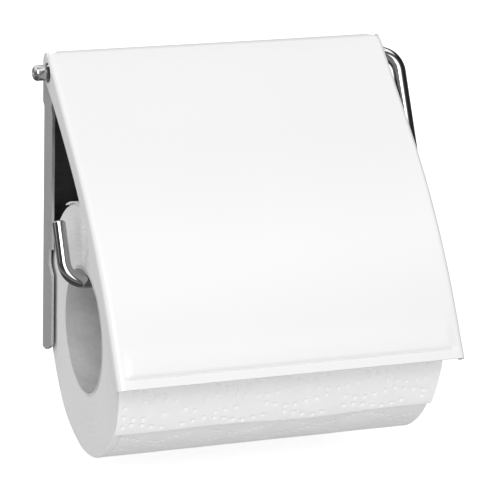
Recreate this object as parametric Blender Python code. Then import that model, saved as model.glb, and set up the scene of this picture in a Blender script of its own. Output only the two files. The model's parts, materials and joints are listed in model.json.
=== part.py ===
"""Wall-mounted roll holder with a folding cover, holding one paper roll.

Metres, +Z up, +X to the right, +Y towards the wall. The origin is the centre of the
back plate's rear face. Side views are drawn as (depth, height): depth is measured from
the wall, so Y = -depth, and height is measured from the hinge line.
"""
import math

import bmesh
import bpy
from mathutils import Vector

# ---- driving dimensions ---------------------------------------------------------
SHEET = 0.001                 # steel sheet of the plate and the cover
PLATE_WIDTH = 0.1230
PLATE_HEIGHT = 0.108          # the hinge line is level with the plate's top edge
FLANGE_DEPTH = 0.0120
LUG_STEP = 0.0005             # the lugs stand this far outside the flanges
HINGE_DEPTH = 0.0133          # hinge line from the wall
COVER_WIDTH = 0.128
COVER_TOP_RADIUS = 0.0062     # outside of the rolled top
COVER_TOP_AT = (0.0122, 0.0009)
COVER_SLOPE = 39.0            # degrees below level, straight upper part
COVER_STRAIGHT = 0.0410
COVER_BOW_RADIUS = 0.2206
COVER_BOW_ANGLE = 21.7
WIRE_RADIUS = 0.0024
WIRE_BEND = 0.0074
ARM_LENGTH = 0.0765           # hinge line to arm
ARM_TILT = 28.7               # degrees forward of hanging
ARM_RIGHT = 0.0709
ARM_LEFT = -0.0668
HOOK_LENGTH = 0.0223
CAP_RADIUS = 0.0028
ROLL_RADIUS = 0.0455
ROLL_LENGTH = 0.119
CORE_INNER = 0.0225
CORE_OUTER = 0.0231
SHEET_WIDTH = 0.1206          # free layer of paper, a little wider than the wound roll
CLEAR = 0.0003                # gap between pieces that touch

# ---- what follows from them -----------------------------------------------------
HINGE_Z = PLATE_HEIGHT / 2
PLATE_LOW = -PLATE_HEIGHT
PLATE_HALF = PLATE_WIDTH / 2
COVER_HALF = COVER_WIDTH / 2
TILT = math.radians(ARM_TILT)
ARM_AXIS = (HINGE_DEPTH + ARM_LENGTH * math.sin(TILT), -ARM_LENGTH * math.cos(TILT))
HANG = CORE_INNER - WIRE_RADIUS - CLEAR
HANG_LEAN = math.radians(9.4)   # the roll leans back on the plate
ROLL_AXIS = (ARM_AXIS[0] - HANG * math.sin(HANG_LEAN), ARM_AXIS[1] - HANG * math.cos(HANG_LEAN))


def point(x, depth, height):
    """World point from a side-view place."""
    return Vector((x, -depth, HINGE_Z + height))


def around(centre, radius, degrees):
    """Side-view point on a circle; 0 is straight up, positive leans to the front."""
    a = math.radians(degrees)
    return centre[0] + radius * math.sin(a), centre[1] + radius * math.cos(a)


# ---- helpers --------------------------------------------------------------------
def clear_scene():
    for old in list(bpy.data.objects):
        bpy.data.objects.remove(old, do_unlink=True)


def material(name, colour, roughness, metallic):
    mat = bpy.data.materials.new(name)
    mat.use_nodes = True
    shader = mat.node_tree.nodes["Principled BSDF"]
    shader.inputs["Base Color"].default_value = (*colour, 1.0)
    shader.inputs["Roughness"].default_value = roughness
    shader.inputs["Metallic"].default_value = metallic
    return mat


def add_object(name, data, mat, origin=None):
    """Link an object; a mesh is shifted so that its origin lies on the joint axis."""
    if mat is not None:
        data.materials.append(mat)
    obj = bpy.data.objects.new(name, data)
    bpy.context.scene.collection.objects.link(obj)
    if origin is not None:
        for vertex in data.vertices:
            vertex.co -= origin
        obj.location = origin
    return obj


def mesh_from(bm, name):
    mesh = bpy.data.meshes.new(name)
    bm.to_mesh(mesh)
    bm.free()
    mesh.shade_smooth()
    mesh.set_sharp_from_angle(angle=math.radians(35))
    return mesh


def sheet_from(faces, name):
    """Join faces, each a list of points, into one open sheet."""
    bm = bmesh.new()
    for corners in faces:
        bm.faces.new([bm.verts.new(p) for p in corners])
    bmesh.ops.remove_doubles(bm, verts=bm.verts, dist=1e-6)
    return mesh_from(bm, name)


def turned(name, profile, place, segments):
    """Closed turned solid: profile is (along, radius), place(along, u, v) gives the point."""
    bm = bmesh.new()
    rings = []
    for along, radius in profile:
        if radius == 0:
            rings.append([bm.verts.new(place(along, 0, 0))] * segments)
            continue
        ring = []
        for i in range(segments):
            a = 2 * math.pi * i / segments
            ring.append(bm.verts.new(place(along, radius * math.cos(a), radius * math.sin(a))))
        rings.append(ring)
    for a, b in zip(rings, rings[1:] + rings[:1]):
        for i in range(segments):
            j = (i + 1) % segments
            corners = list(dict.fromkeys((a[i], a[j], b[j], b[i])))
            if len(corners) > 2:
                bm.faces.new(corners)
    bmesh.ops.recalc_face_normals(bm, faces=bm.faces)
    return mesh_from(bm, name)


def along_x(depth, height):
    """Placing function for a solid turned about a line parallel to X."""
    return lambda x, u, v: point(x, depth + u, height + v)


def along_wall_normal(x, height):
    """Placing function for a solid turned about a line that leaves the wall."""
    return lambda depth, u, v: point(x + u, depth, height + v)


def cutter(name, mesh):
    obj = add_object(name, mesh, None)
    obj.hide_render = True
    obj.display_type = "WIRE"
    return obj


def cut(obj, tool):
    mod = obj.modifiers.new("cut_" + tool.name, "BOOLEAN")
    mod.operation = "DIFFERENCE"
    mod.solver = "EXACT"
    mod.object = tool


def thicken(obj):
    mod = obj.modifiers.new("thickness", "SOLIDIFY")
    mod.thickness = SHEET
    mod.offset = -1
    mod.use_even_offset = True


def rod_cutter(name, x0, x1, depth, height, radius):
    profile = [(x0, 0), (x0, radius), (x1, radius), (x1, 0)]
    return cutter(name, turned(name, profile, along_x(depth, height), 24))


# ---- back plate -----------------------------------------------------------------
BEND = 0.0015
BEND_STEPS = 4
SHOULDER_TOP = -0.0136
SHOULDER_LOW = -0.0159
LUG_RADIUS = 0.0045
SLOT_REAR = 0.0048            # slot behind each lug, which the cover's rolled top swings through
SLOT_FLOOR = -0.0072
SCREW_X = 0.040
SCREW_HEIGHT = -0.024
SCREW_HOLE = 0.0025


def plate_flange_low():
    """Flange outline from the shoulder down, (depth, height), front edge first."""
    return [
        (FLANGE_DEPTH, SHOULDER_LOW), (FLANGE_DEPTH, -0.0674), (0.0086, -0.0674),
        (0.0086, -0.0735), (FLANGE_DEPTH + 0.0004, -0.0770),
        (FLANGE_DEPTH + 0.0004, PLATE_LOW + 0.0042), (0.0108, PLATE_LOW + 0.0026),
        (0.0055, PLATE_LOW), (BEND, PLATE_LOW),
    ]


def plate_flange_top():
    """Flange outline above the shoulder with the lug around the hinge pin."""
    hinge = (HINGE_DEPTH, 0.0)
    lug = [around(hinge, LUG_RADIUS, a) for a in range(-130, 111, 20)]
    slot = [(lug[0][0], SLOT_FLOOR), (SLOT_REAR, SLOT_FLOOR), (SLOT_REAR, 0.0)]
    return [(BEND, 0.0)] + slot[::-1] + lug + [(FLANGE_DEPTH, SHOULDER_TOP)]


def plate_faces():
    levels = [
        (PLATE_LOW, PLATE_HALF), (SHOULDER_LOW, PLATE_HALF),
        (SHOULDER_TOP, PLATE_HALF + LUG_STEP), (0.0, PLATE_HALF + LUG_STEP),
    ]
    faces = []
    for (low, half_low), (high, half_high) in zip(levels, levels[1:]):
        a, b = half_low - BEND, half_high - BEND
        faces.append([point(a, 0, low), point(-a, 0, low), point(-b, 0, high), point(b, 0, high)])
        for side in (-1, 1):
            strip = []
            for i in range(BEND_STEPS + 1):
                t = math.radians(90 * i / BEND_STEPS)
                out, depth = BEND * math.sin(t), BEND * (1 - math.cos(t))
                strip.append((point(side * (a + out), depth, low), point(side * (b + out), depth, high)))
            for (low0, high0), (low1, high1) in zip(strip, strip[1:]):
                quad = [low0, high0, high1, low1]
                faces.append(quad if side > 0 else quad[::-1])
    outlines = [
        (plate_flange_low() + [(BEND, SHOULDER_LOW)], PLATE_HALF),
        (plate_flange_top() + [(BEND, SHOULDER_TOP)], PLATE_HALF + LUG_STEP),
    ]
    for side in (-1, 1):
        for outline, half in outlines:
            corners = [point(side * half, d, h) for d, h in outline]
            faces.append(corners if side > 0 else corners[::-1])
        step = [
            point(side * PLATE_HALF, BEND, SHOULDER_LOW),
            point(side * (PLATE_HALF + LUG_STEP), BEND, SHOULDER_TOP),
            point(side * (PLATE_HALF + LUG_STEP), FLANGE_DEPTH, SHOULDER_TOP),
            point(side * PLATE_HALF, FLANGE_DEPTH, SHOULDER_LOW),
        ]
        faces.append(step if side > 0 else step[::-1])
    return faces


def make_back_plate():
    mat = material("plate_steel", (0.30, 0.30, 0.31), 0.45, 0.6)
    plate = add_object("back_plate", sheet_from(plate_faces(), "back_plate"), mat)
    thicken(plate)
    reach = PLATE_HALF + 0.01
    pin_hole = WIRE_RADIUS + 0.0002
    cut(plate, rod_cutter("hinge_hole_cutter", -reach, reach, HINGE_DEPTH, 0, pin_hole))
    for name, x in (("left", -SCREW_X), ("right", SCREW_X)):
        profile = [(-0.01, 0), (-0.01, SCREW_HOLE), (0.01, SCREW_HOLE), (0.01, 0)]
        mesh = turned(name, profile, along_wall_normal(x, SCREW_HEIGHT), 24)
        cut(plate, cutter("screw_hole_cutter_" + name, mesh))


# ---- wall screws ----------------------------------------------------------------
SCREW_HEAD = 0.0040
SCREW_SHANK = 0.0020
SCREW_LENGTH = 0.030
SCREW_SEAT = SHEET + CLEAR
SLOT_ARM = 0.0022
SLOT_HALF = 0.0005


def cross_slot(name, x):
    """Cutter for the cross slot in a screw head."""
    a, b, floor = SLOT_HALF, SLOT_ARM, SCREW_SEAT + 0.0009
    outline = [(a, a), (b, a), (b, -a), (a, -a), (a, -b), (-a, -b)]
    outline += [(-u, -v) for u, v in outline]
    bm = bmesh.new()
    base = bm.faces.new([bm.verts.new(point(x + u, floor, SCREW_HEIGHT + v)) for u, v in outline])
    grown = bmesh.ops.extrude_face_region(bm, geom=[base])["geom"]
    rising = [v for v in grown if isinstance(v, bmesh.types.BMVert)]
    bmesh.ops.translate(bm, verts=rising, vec=(0, -0.004, 0))
    bmesh.ops.recalc_face_normals(bm, faces=bm.faces)
    return cutter(name, mesh_from(bm, name))


def make_screws():
    """Two pan-head screws, seated on the plate's front face and reaching into the wall."""
    profile = [
        (-SCREW_LENGTH, 0), (0.006 - SCREW_LENGTH, SCREW_SHANK), (SCREW_SEAT, SCREW_SHANK),
        (SCREW_SEAT, SCREW_HEAD), (SCREW_SEAT + 0.0012, SCREW_HEAD), (SCREW_SEAT + 0.0020, 0.0031),
        (SCREW_SEAT + 0.0024, 0.0018), (SCREW_SEAT + 0.0024, 0),
    ]
    mat = material("screw_steel", (0.62, 0.62, 0.63), 0.3, 1.0)
    for side, x in (("left", -SCREW_X), ("right", SCREW_X)):
        mesh = turned("wall_screw_" + side, profile, along_wall_normal(x, SCREW_HEIGHT), 20)
        screw = add_object("wall_screw_" + side, mesh, mat)
        cut(screw, cross_slot("cross_slot_cutter_" + side, x))


# ---- cover ----------------------------------------------------------------------
COVER_BEND = 0.0022
COVER_BEND_STEPS = 5
RELIEF = 0.0045               # the rolled top stops this far inside each side
ROLL_BACK = -60               # degrees behind the top where the rolled edge ends
ROLL_STEPS = 11
BOW_STEPS = 12
LIP_STEP = 0.0007             # the lip stands this far outside the panel
EAR_HOLE = 0.0037
EAR_HOLE_AT = (0.0138, 0.0)
STRAIGHT_STEPS = 6
BEND_FROM = 12                # degrees, where the side bends begin on the rolled top
FLANGE_LOW = 0.0070           # side flange, measured square to the panel
FLANGE_RISE = 0.0040          # added at its top end
FLANGE_FADE = 0.018
LIP_FLANGE = 0.0045


def cover_profile():
    """Outer side-view line of the panel as (depth, height, normal angle), top to lip."""
    stations = []
    for i in range(ROLL_STEPS):
        a = ROLL_BACK + (COVER_SLOPE - ROLL_BACK) * i / ROLL_STEPS
        stations.append((*around(COVER_TOP_AT, COVER_TOP_RADIUS, a), a))
    d, h = around(COVER_TOP_AT, COVER_TOP_RADIUS, COVER_SLOPE)
    slope = math.radians(COVER_SLOPE)
    for i in range(STRAIGHT_STEPS):
        run = COVER_STRAIGHT * i / STRAIGHT_STEPS
        stations.append((d + run * math.cos(slope), h - run * math.sin(slope), COVER_SLOPE))
    end = (d + COVER_STRAIGHT * math.cos(slope), h - COVER_STRAIGHT * math.sin(slope))
    bow_centre = around(end, -COVER_BOW_RADIUS, COVER_SLOPE)
    for i in range(BOW_STEPS + 1):
        a = COVER_SLOPE + COVER_BOW_ANGLE * i / BOW_STEPS
        stations.append((*around(bow_centre, COVER_BOW_RADIUS, a), a))
    end, normal = stations[-1][:2], stations[-1][2]
    down = math.radians(normal)
    for run, out in ((0.0012, LIP_STEP), (0.0055, LIP_STEP)):
        lip = (end[0] + run * math.cos(down), end[1] - run * math.sin(down))
        stations.append((*around(lip, out, normal), normal))
    return stations


def cover_section(station, side, step):
    """Point on the bend between panel (step 0) and flange (last step) at one station."""
    d, h, normal = station
    t = math.radians(90 * step / COVER_BEND_STEPS)
    inwards = COVER_BEND * (1 - math.cos(t))
    x = COVER_HALF - COVER_BEND * (1 - math.sin(t))
    return point(side * x, *around((d, h), -inwards, normal))


def cover_flange_back(stations):
    """Rear edge of the side flange, from the lip up to the ear's peak."""
    panel = stations[ROLL_STEPS:]
    edge = []
    run = 0.0
    for i, (d, h, normal) in enumerate(panel):
        run += math.dist((d, h), panel[max(i - 1, 0)][:2])
        width = FLANGE_LOW + FLANGE_RISE * math.exp(-run / FLANGE_FADE)
        edge.append(around((d, h), -width, normal))
    edge[-1] = around(panel[-1][:2], -LIP_FLANGE, panel[-1][2])
    ear = [(0.0110, -0.0038), (0.0090, -0.0012), (0.0081, 0.0016), (0.0081, 0.0036),
           (0.0095, 0.0057), (0.0124, 0.0071)]
    return edge[:0:-1] + ear


def cover_faces():
    stations = cover_profile()
    first = next(i for i, s in enumerate(stations) if s[2] >= BEND_FROM)
    inner = COVER_HALF - RELIEF
    faces = []
    for i, (a, b) in enumerate(zip(stations, stations[1:])):
        top = [point(-inner, *a[:2]), point(inner, *a[:2])]
        low = [point(inner, *b[:2]), point(-inner, *b[:2])]
        faces.append(top[::-1] + low[::-1])
        if i < first:
            continue
        for side in (-1, 1):
            rows = [(point(side * inner, *a[:2]), point(side * inner, *b[:2]))]
            for step in range(COVER_BEND_STEPS + 1):
                rows.append((cover_section(a, side, step), cover_section(b, side, step)))
            for (a0, b0), (a1, b1) in zip(rows, rows[1:]):
                quad = [a0, b0, b1, a1]
                faces.append(quad if side > 0 else quad[::-1])
    for side in (-1, 1):
        bend_edge = [cover_section(s, side, COVER_BEND_STEPS) for s in stations[first:]]
        rear = [point(side * COVER_HALF, d, h) for d, h in cover_flange_back(stations)]
        corners = bend_edge + rear
        faces.append(corners if side > 0 else corners[::-1])
    return faces


def make_cover():
    mat = material("white_enamel", (0.90, 0.90, 0.89), 0.25, 0.0)
    hinge = point(0, HINGE_DEPTH, 0)
    mesh = sheet_from(cover_faces(), "cover_flap")
    cover = add_object("cover_flap", mesh, mat, origin=hinge)
    thicken(cover)
    reach = COVER_HALF + 0.01
    cut(cover, rod_cutter("ear_hole_cutter", -reach, reach, *EAR_HOLE_AT, EAR_HOLE))


# ---- roll arm and its cap -------------------------------------------------------
SPIGOT_RADIUS = 0.0020        # reduced end of the wire inside the cap
SPIGOT_TIP = -0.0680
CAP_MOUTH = -PLATE_HALF - LUG_STEP - CLEAR
CAP_TIP = -0.0692
FILLET_STEPS = 7


def in_wire_plane(x, reach):
    """Point of the bent wire's plane, reach measured from the hinge line along the leg."""
    return point(x, HINGE_DEPTH + reach * math.sin(TILT), -reach * math.cos(TILT))


def wire_route():
    """Flat route (x, reach) with a round bend at each corner."""
    corners = [
        (SPIGOT_TIP, 0.0), (ARM_RIGHT, 0.0), (ARM_RIGHT, ARM_LENGTH),
        (ARM_LEFT, ARM_LENGTH), (ARM_LEFT, ARM_LENGTH - HOOK_LENGTH),
    ]
    shrink = SPIGOT_RADIUS / WIRE_RADIUS
    route = [(*corners[0], shrink), (CAP_MOUTH, 0.0, shrink), (CAP_MOUTH + 0.0001, 0.0, 1.0)]
    for before, corner, after in zip(corners, corners[1:], corners[2:]):
        c = Vector(corner)
        came = (c - Vector(before)).normalized()
        goes = (Vector(after) - c).normalized()
        centre = c - came * WIRE_BEND + goes * WIRE_BEND
        for i in range(FILLET_STEPS + 1):
            t = math.radians(90 * i / FILLET_STEPS)
            p = centre - goes * WIRE_BEND * math.cos(t) + came * WIRE_BEND * math.sin(t)
            route.append((p.x, p.y, 1.0))
    route.append((*corners[-1], 1.0))
    return route


def make_roll_arm():
    hinge = point(0, HINGE_DEPTH, 0)
    route = wire_route()
    curve = bpy.data.curves.new("roll_arm", "CURVE")
    curve.dimensions = "3D"
    curve.bevel_depth = WIRE_RADIUS
    curve.bevel_resolution = 4
    curve.use_fill_caps = True
    spline = curve.splines.new("POLY")
    spline.points.add(len(route) - 1)
    for place, (x, reach, radius) in zip(spline.points, route):
        place.co = (*(in_wire_plane(x, reach) - hinge), 1.0)
        place.radius = radius
    arm = add_object("roll_arm", curve, material("chrome_wire", (0.80, 0.80, 0.81), 0.08, 1.0))
    arm.location = hinge


def make_pivot_cap():
    """Cap with a domed end and a small dimple, pushed over the wire's reduced end."""
    bore, wall_end = SPIGOT_RADIUS + 0.0002, SPIGOT_TIP - CLEAR
    shoulder = CAP_TIP + 0.0017
    profile = [(wall_end, 0), (wall_end, bore), (CAP_MOUTH, bore), (CAP_MOUTH, CAP_RADIUS)]
    for i in range(5):
        t = math.radians(70 * i / 4)
        along = shoulder + (CAP_TIP - shoulder) * math.sin(t) / math.sin(math.radians(70))
        profile.append((along, CAP_RADIUS - 0.0017 * (1 - math.cos(t))))
    profile += [(CAP_TIP, 0.0008), (CAP_TIP + 0.0004, 0.0005), (CAP_TIP + 0.0004, 0)]
    mesh = turned("pivot_cap", profile, along_x(HINGE_DEPTH, 0), 24)
    cap_mat = material("cap_steel", (0.75, 0.75, 0.76), 0.15, 1.0)
    add_object("pivot_cap", mesh, cap_mat, origin=point(0, HINGE_DEPTH, 0))


# ---- paper roll -----------------------------------------------------------------
ROLL_SEGMENTS = 64
SHEET_GAP = 0.0002
TISSUE = 0.0005
WRAP_START = -27              # degrees, where the free layer leaves the wound paper
WRAP_END = 122.5              # degrees, the torn edge, past the front of the roll
WRAP_STEPS = 30


def tube(name, inner, outer, half, mat):
    depth, height = ROLL_AXIS
    profile = [(-half, inner), (-half, outer), (half, outer), (half, inner)]
    mesh = turned(name, profile, along_x(depth, height), ROLL_SEGMENTS)
    add_object(name, mesh, mat, origin=point(0, depth, height))


def make_roll():
    half = ROLL_LENGTH / 2
    tube("roll_core", CORE_INNER, CORE_OUTER, half, material("card", (0.62, 0.58, 0.53), 0.9, 0.0))
    paper_mat = material("tissue", (0.88, 0.88, 0.88), 0.95, 0.0)
    tube("paper_roll", CORE_OUTER + CLEAR, ROLL_RADIUS, half, paper_mat)


def make_outer_sheet():
    """Free layer: over the top of the roll, round its front, and a little way under."""
    inner = ROLL_RADIUS + SHEET_GAP
    line = []
    for i in range(WRAP_STEPS + 1):
        a = WRAP_START + (WRAP_END - WRAP_START) * i / WRAP_STEPS
        line.append((around(ROLL_AXIS, inner, a), around(ROLL_AXIS, inner + TISSUE, a)))
    half = SHEET_WIDTH / 2
    bm = bmesh.new()
    rings = []
    for near, far in line:
        rings.append([
            bm.verts.new(point(-half, *near)), bm.verts.new(point(half, *near)),
            bm.verts.new(point(half, *far)), bm.verts.new(point(-half, *far)),
        ])
    for a, b in zip(rings, rings[1:]):
        for i in range(4):
            bm.faces.new([a[i], a[(i + 1) % 4], b[(i + 1) % 4], b[i]])
    bm.faces.new(rings[0][::-1])
    bm.faces.new(rings[-1])
    bmesh.ops.recalc_face_normals(bm, faces=bm.faces)
    mat = material("tissue_sheet", (0.90, 0.90, 0.90), 0.95, 0.0)
    add_object("outer_sheet", mesh_from(bm, "outer_sheet"), mat, origin=point(0, HINGE_DEPTH, 0))


clear_scene()
make_back_plate()
make_screws()
make_cover()
make_roll_arm()
make_pivot_cap()
make_roll()
make_outer_sheet()
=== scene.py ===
"""Looks of the wall-mounted roll holder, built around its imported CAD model.

Metres. Side views are drawn as (depth, height): depth is measured from the wall, so
Y = -depth, and height is measured from the hinge line.
"""
import json
import math

import bmesh
import bpy
from mathutils import Matrix, Vector, noise
from mathutils.geometry import tessellate_polygon


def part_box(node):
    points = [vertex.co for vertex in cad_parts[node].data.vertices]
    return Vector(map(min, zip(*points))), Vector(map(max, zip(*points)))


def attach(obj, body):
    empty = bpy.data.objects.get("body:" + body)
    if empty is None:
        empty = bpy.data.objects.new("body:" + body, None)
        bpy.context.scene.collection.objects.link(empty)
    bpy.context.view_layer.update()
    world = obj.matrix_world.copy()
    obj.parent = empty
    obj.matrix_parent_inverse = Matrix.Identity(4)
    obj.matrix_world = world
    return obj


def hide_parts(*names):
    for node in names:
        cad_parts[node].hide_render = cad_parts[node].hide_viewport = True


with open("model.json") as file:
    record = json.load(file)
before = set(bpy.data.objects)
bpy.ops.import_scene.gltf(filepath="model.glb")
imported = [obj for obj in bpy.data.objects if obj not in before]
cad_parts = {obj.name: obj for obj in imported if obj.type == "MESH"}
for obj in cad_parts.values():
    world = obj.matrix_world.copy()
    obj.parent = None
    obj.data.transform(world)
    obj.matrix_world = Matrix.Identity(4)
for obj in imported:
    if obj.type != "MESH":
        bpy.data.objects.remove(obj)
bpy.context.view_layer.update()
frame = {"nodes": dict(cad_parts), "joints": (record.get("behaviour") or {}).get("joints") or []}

MM = 0.001
JOINTS = {joint["name"]: Vector(joint["pos_m"]) for joint in frame["joints"]}
HINGE = JOINTS["arm_swing"]
ROLL = JOINTS["roll_spin"]
PLATE_LOW, PLATE_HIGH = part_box("back_plate")
CAP_LOW, CAP_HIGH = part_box("pivot_cap")
ROLL_LOW, ROLL_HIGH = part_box("paper_roll")
CORE_LOW, CORE_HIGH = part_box("roll_core")
COVER_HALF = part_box("cover_flap")[1][0]
WIRE_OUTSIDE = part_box("roll_arm")[1][0]
SHEET_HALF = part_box("outer_sheet")[1][0]

HINGE_DEPTH = -HINGE.y
ROLL_AT = (-ROLL.y, ROLL.z - HINGE.z)
ROLL_RADIUS = (ROLL_HIGH[2] - ROLL_LOW[2]) / 2
CORE_RADIUS = (CORE_HIGH[2] - CORE_LOW[2]) / 2
STEEL = 1.0 * MM              # thickness of the pressed sheet
FLOOR_DROP = 12.0 * MM        # floor below the lowest piece
WELD = 0.002 * MM             # vertices closer than this become one


# ---- small helpers --------------------------------------------------------------
def place(x, depth, height):
    """World position of a side-view point at a place across the holder."""
    return Vector((x, -depth, HINGE.z + height))


def around(centre, radius, degrees):
    """Side-view point on a circle; 0 is straight up, positive leans to the front."""
    a = math.radians(degrees)
    return centre[0] + radius * math.sin(a), centre[1] + radius * math.cos(a)


def ease(t):
    """0 below 0, 1 above 1, and a smooth rise between them."""
    t = min(max(t, 0.0), 1.0)
    return t * t * (3 - 2 * t)


def mix(a, b, t):
    """Value between a and b, at the share t of the way."""
    return a + (b - a) * t


def steps(low, high, count):
    """Evenly spaced values from low to high, both included."""
    return [low + (high - low) * i / count for i in range(count + 1)]


def wobble(x, y, z, scale):
    """Smooth repeatable unevenness between about -1 and 1."""
    return noise.noise(Vector((x * scale, y * scale, z * scale)))


def link(name, mesh, materials, location=None):
    """Put a mesh into the scene; its own zero goes to the location, if there is one."""
    obj = bpy.data.objects.new(name, mesh)
    bpy.context.scene.collection.objects.link(obj)
    for mat in materials:
        mesh.materials.append(mat)
    if location is not None:
        mesh.transform(Matrix.Translation(-location))
        obj.location = location
    return obj


def mesh_from(bm, name, sharp=40.0):
    """Smooth-shaded mesh, with sharp edges where faces meet at more than an angle."""
    mesh = bpy.data.meshes.new(name)
    bm.to_mesh(mesh)
    bm.free()
    mesh.shade_smooth()
    mesh.set_sharp_from_angle(angle=math.radians(sharp))
    return mesh


def add_grid(bm, rows, close_rows=False, close_columns=False):
    """Quads between rows of points; returns the rows of vertices."""
    verts = [[bm.verts.new(p) for p in row] for row in rows]
    row_pairs = list(zip(verts, verts[1:]))
    if close_rows:
        row_pairs.append((verts[-1], verts[0]))
    for a, b in row_pairs:
        columns = list(range(len(a) - 1))
        if close_columns:
            columns.append(len(a) - 1)
        for i in columns:
            j = (i + 1) % len(a)
            bm.faces.new((a[i], b[i], b[j], a[j]))
    return verts


def bridge(bm, first, second):
    """Quads between two lines of vertices that are already there."""
    for a, b, c, d in zip(first, first[1:], second[1:], second):
        bm.faces.new((a, b, c, d))


def circle(count):
    """Angles of evenly spaced points once round."""
    return [2 * math.pi * k / count for k in range(count)]


def arc(centre, radius, first, last, count):
    """Side-view points on a circle between two angles in degrees."""
    return [around(centre, radius, a) for a in steps(first, last, count)]


def thicken(obj, rounding, segments):
    """Give an open sheet the thickness of the steel, and round its edges."""
    solid = obj.modifiers.new("thickness", "SOLIDIFY")
    solid.thickness = STEEL
    solid.offset = -1
    solid.use_even_offset = True
    edge = obj.modifiers.new("edge", "BEVEL")
    edge.width = rounding
    edge.segments = segments
    edge.limit_method = "ANGLE"
    edge.angle_limit = math.radians(50)
    edge.harden_normals = True


def face_outwards(bm, towards):
    """Turn an open sheet so that its first face looks along the given direction."""
    bmesh.ops.recalc_face_normals(bm, faces=bm.faces)
    bm.faces.ensure_lookup_table()
    if bm.faces[0].normal.dot(towards) < 0:
        bmesh.ops.reverse_faces(bm, faces=bm.faces)


def piece(obj, body, slot, *nodes):
    """Tie a mesh to its body, and let it stand for CAD nodes; the slot is not used."""
    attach(obj, body)
    if nodes:
        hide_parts(*nodes)


# ---- material helpers -----------------------------------------------------------
class Nodes:
    """Short way to write a node tree."""

    def __init__(self, tree):
        self.tree = tree

    def add(self, kind, **settings):
        new = self.tree.nodes.new("ShaderNode" + kind)
        for key, value in settings.items():
            setattr(new, key, value)
        return new

    def join(self, source, target):
        self.tree.links.new(source, target)

    def value(self, socket, source):
        if isinstance(source, (int, float, tuple)):
            socket.default_value = source
        else:
            self.join(source, socket)

    def math(self, operation, a, b=0.0):
        new = self.add("Math", operation=operation)
        self.value(new.inputs[0], a)
        self.value(new.inputs[1], b)
        return new.outputs[0]

    def blend(self, a, b, share):
        """Weighted sum of two values; the share is the weight of the first."""
        return self.math("ADD", self.math("MULTIPLY", a, share),
                         self.math("MULTIPLY", b, 1 - share))

    def choose(self, factor, a, b):
        """The value a where the factor is 0, and b where it is 1."""
        new = self.add("Mix", data_type="FLOAT")
        self.join(factor, new.inputs["Factor"])
        self.value(new.inputs["A"], a)
        self.value(new.inputs["B"], b)
        return new.outputs["Result"]

    def noise(self, vector, scale, detail=2.0, roughness=0.5):
        new = self.add("TexNoise")
        self.join(vector, new.inputs["Vector"])
        new.inputs["Scale"].default_value = scale
        new.inputs["Detail"].default_value = detail
        new.inputs["Roughness"].default_value = roughness
        return new.outputs["Fac"]

    def stretch(self, vector, scale):
        new = self.add("Mapping")
        self.join(vector, new.inputs["Vector"])
        new.inputs["Scale"].default_value = scale
        return new.outputs["Vector"]

    def ramp(self, source, stops, interpolation="LINEAR"):
        new = self.add("ValToRGB")
        self.value(new.inputs[0], source)
        ramp = new.color_ramp
        ramp.interpolation = interpolation
        while len(ramp.elements) < len(stops):
            ramp.elements.new(0.5)
        for element, (position, level) in zip(ramp.elements, stops):
            element.position = position
            element.color = level if isinstance(level, tuple) else (level, level, level, 1.0)
        return new.outputs["Color"]

    def spread(self, source, low, high):
        """Stretch a noise value, which stays near 0.5, over low to high."""
        new = self.add("MapRange")
        self.value(new.inputs["Value"], source)
        new.inputs["From Min"].default_value = 0.3
        new.inputs["From Max"].default_value = 0.7
        new.inputs["To Min"].default_value = low
        new.inputs["To Max"].default_value = high
        return new.outputs["Result"]

    def bump(self, height, distance, normal=None):
        new = self.add("Bump")
        self.join(height, new.inputs["Height"])
        new.inputs["Distance"].default_value = distance
        if normal is not None:
            self.join(normal, new.inputs["Normal"])
        return new.outputs["Normal"]


def new_material(name):
    """Material, its tree, its shader and the object coordinates."""
    mat = bpy.data.materials.new(name)
    mat.use_nodes = True
    nodes = Nodes(mat.node_tree)
    shader = mat.node_tree.nodes["Principled BSDF"]
    coordinates = nodes.add("TexCoord").outputs["Object"]
    return mat, nodes, shader, coordinates


def grey(level):
    return (level, level, level, 1.0)


# ---- materials ------------------------------------------------------------------
def enamel():
    """White paint with a faint orange peel."""
    mat, nodes, shader, at = new_material("white_enamel")
    cloud = nodes.noise(at, 16.0, 1.0)
    tone = nodes.ramp(cloud, [(0.2, grey(0.808)), (0.8, grey(0.822))])
    nodes.join(tone, shader.inputs["Base Color"])
    smudge = nodes.noise(at, 40.0, 1.0)
    nodes.join(nodes.spread(smudge, 0.285, 0.305), shader.inputs["Roughness"])
    peel = nodes.bump(nodes.noise(at, 420.0, 2.0), 0.02 * MM)
    dust = nodes.noise(at, 2600.0, 2.0)
    nodes.join(nodes.bump(dust, 0.004 * MM, peel), shader.inputs["Normal"])
    return mat


PIVOT_SHADE_SCALE = 10.0 * MM       # distance from the hinge line that counts as 1, for the painted shade round the pin


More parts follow.
